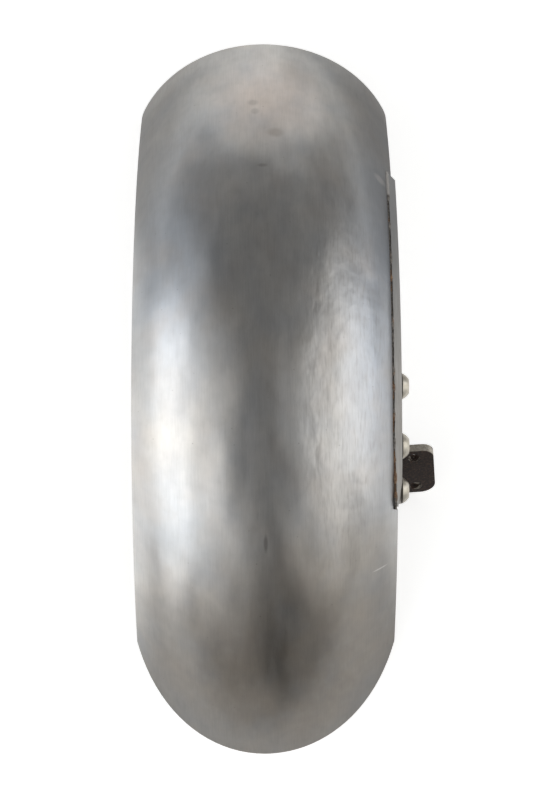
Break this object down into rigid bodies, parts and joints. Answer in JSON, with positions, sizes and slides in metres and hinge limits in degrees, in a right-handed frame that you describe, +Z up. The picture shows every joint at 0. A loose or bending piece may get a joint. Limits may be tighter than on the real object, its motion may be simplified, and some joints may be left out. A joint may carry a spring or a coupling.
{
  "type": "scooter front fender",
  "caption": "Arched bare-steel front fender for a scooter wheel, with a rounded front edge, a welded side rail and a bolted bracket whose drilled lug fixes it to the fork.",
  "frame": {"origin": "middle of the two lug holes, on the lug's rear face, which seats on the fork", "axes": "+X across the wheel towards the bracket side, +Y to the rear of the scooter, +Z up; the wheel's middle plane is at X = -82.5 mm and its axle at Y = 57 mm, Z = -185.9 mm"},
  "size_m": [0.1643, 0.3934, 0.1031],
  "materials": {
    "bare_sheet_steel": "satin, sanded lengthwise",
    "ground_flat_bar": "ground",
    "rusted_weld": "rough, rusted",
    "mill_scale_plate": "dull mill scale",
    "weld_metal": "rough weld",
    "stainless_fasteners": "satin"
  },
  "bodies": {
    "root": {"fender_shell": "bare_sheet_steel", "mounting_rail": "ground_flat_bar", "tack_welds": "rusted_weld", "bracket_plate": "mill_scale_plate", "bracket_lug": "mill_scale_plate", "lug_welds": "weld_metal", "button_screws": "stainless_fasteners", "plain_washers": "stainless_fasteners", "hex_nuts": "stainless_fasteners"}
  },
  "joints": []
}
